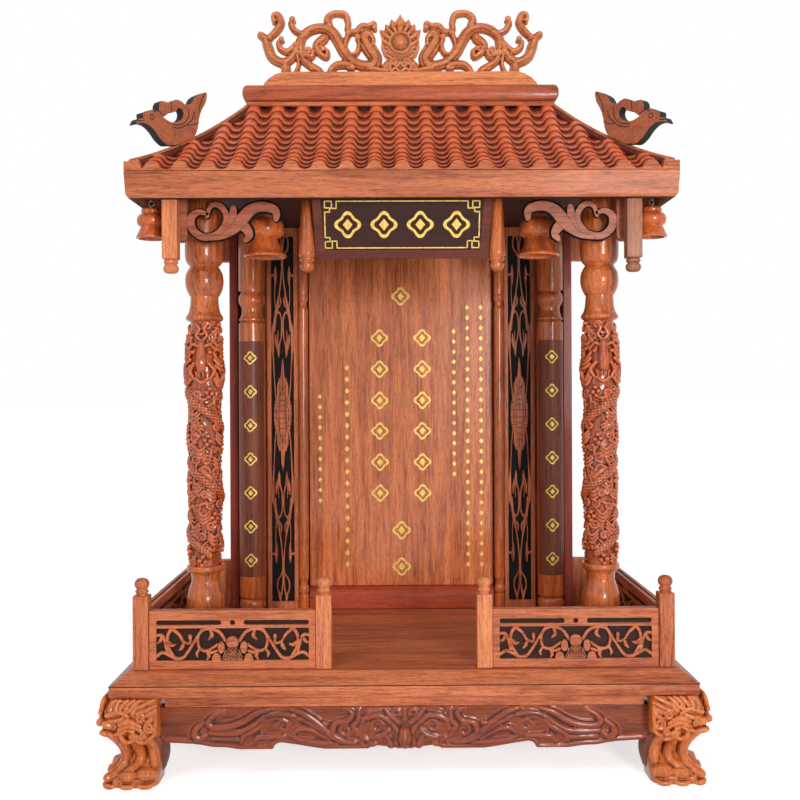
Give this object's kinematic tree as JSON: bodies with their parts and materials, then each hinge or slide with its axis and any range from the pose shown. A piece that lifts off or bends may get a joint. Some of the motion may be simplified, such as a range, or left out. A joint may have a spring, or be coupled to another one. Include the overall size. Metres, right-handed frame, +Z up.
{
  "type": "ancestral shrine",
  "caption": "Free-standing carved wooden shrine: clawed feet, fenced platform, columns and niche with an upright tablet, under a hipped tile roof with carved ridge and small hanging bells.",
  "frame": {"origin": "on the standing surface, under the centre of the shrine's overall box", "axes": "+Z up; -Y is the open front of the shrine with the gate in the fence; +X is to the right for someone who faces the front"},
  "size_m": [0.4536, 0.2896, 0.6195],
  "materials": {
    "matt_rosewood": "oiled, fine dark pores, satin",
    "gloss_rosewood": "lacquered, glossy",
    "golden_rosewood": "carved and lacquered, darker in the hollows",
    "tile_rosewood": "carved tiles, lighter crests",
    "dark_inlay": "dark stained, satin",
    "gold_line": "gold painted line",
    "steel_wire": "plain wire"
  },
  "bodies": {
    "root": {"apron_front": "matt_rosewood", "apron_left": "matt_rosewood", "apron_rear": "matt_rosewood", "apron_right": "matt_rosewood", "back_board": "matt_rosewood", "bracket_left": "matt_rosewood", "bracket_right": "matt_rosewood", "couplet_column_left": "gloss_rosewood", "couplet_column_right": "gloss_rosewood", "couplet_inlay_left": "dark_inlay", "couplet_inlay_right": "dark_inlay", "dragon_column_left": "gloss_rosewood", "dragon_column_right": "gloss_rosewood", "eave_frame": "matt_rosewood", "fence_front_left": "matt_rosewood", "fence_front_right": "matt_rosewood", "fence_side_left": "matt_rosewood", "fence_side_right": "matt_rosewood", "front_post_inner_left": "matt_rosewood", "front_post_inner_right": "matt_rosewood", "front_post_outer_left": "matt_rosewood", "front_post_outer_right": "matt_rosewood", "lattice_panel_left": "matt_rosewood", "lattice_panel_right": "matt_rosewood", "leg_front_left": "golden_rosewood", "leg_front_right": "golden_rosewood", "leg_rear_left": "golden_rosewood", "leg_rear_right": "golden_rosewood", "name_plaque": "dark_inlay", "niche_side_left": "matt_rosewood", "niche_side_right": "matt_rosewood", "pendant_inner_left": "gloss_rosewood", "pendant_inner_right": "gloss_rosewood", "pendant_outer_left": "matt_rosewood", "pendant_outer_right": "matt_rosewood", "phoenix_front_left": "dark_inlay", "phoenix_front_right": "dark_inlay", "phoenix_rear_left": "dark_inlay", "phoenix_rear_right": "dark_inlay", "platform_board": "matt_rosewood", "ridge_board_lower": "matt_rosewood", "ridge_board_upper": "matt_rosewood", "ridge_carving": "golden_rosewood", "roof_slope_front": "tile_rosewood", "roof_slope_left": "tile_rosewood", "roof_slope_rear": "tile_rosewood", "roof_slope_right": "tile_rosewood", "screw_eye_inner_left": "steel_wire", "screw_eye_inner_right": "steel_wire", "screw_eye_outer_left": "steel_wire", "screw_eye_outer_right": "steel_wire", "slender_column_left": "gloss_rosewood", "slender_column_right": "gloss_rosewood", "tablet_board": "gloss_rosewood", "tablet_ledge": "matt_rosewood", "waist_board": "matt_rosewood"},
    "bell_inner_left": {"bell_inner_left": "gloss_rosewood"},
    "bell_inner_right": {"bell_inner_right": "gloss_rosewood"},
    "bell_outer_left": {"bell_outer_left": "gloss_rosewood"},
    "bell_outer_right": {"bell_outer_right": "gloss_rosewood"}
  },
  "joints": [
    {"name": "bell_inner_left_swing", "type": "hinge", "parent": "root", "child": "bell_inner_left", "pos_m": [-0.1103, -0.058, 0.43865], "axis": [0, 1, 0], "range_deg": [-15, 15]},
    {"name": "bell_inner_right_swing", "type": "hinge", "parent": "root", "child": "bell_inner_right", "pos_m": [0.1103, -0.058, 0.43865], "axis": [0, 1, 0], "range_deg": [-15, 15]},
    {"name": "bell_outer_left_swing", "type": "hinge", "parent": "root", "child": "bell_outer_left", "pos_m": [-0.195, -0.088, 0.4345], "axis": [1, 0, 0], "range_deg": [-15, 15]},
    {"name": "bell_outer_right_swing", "type": "hinge", "parent": "root", "child": "bell_outer_right", "pos_m": [0.195, -0.088, 0.4345], "axis": [1, 0, 0], "range_deg": [-15, 15]}
  ]
}
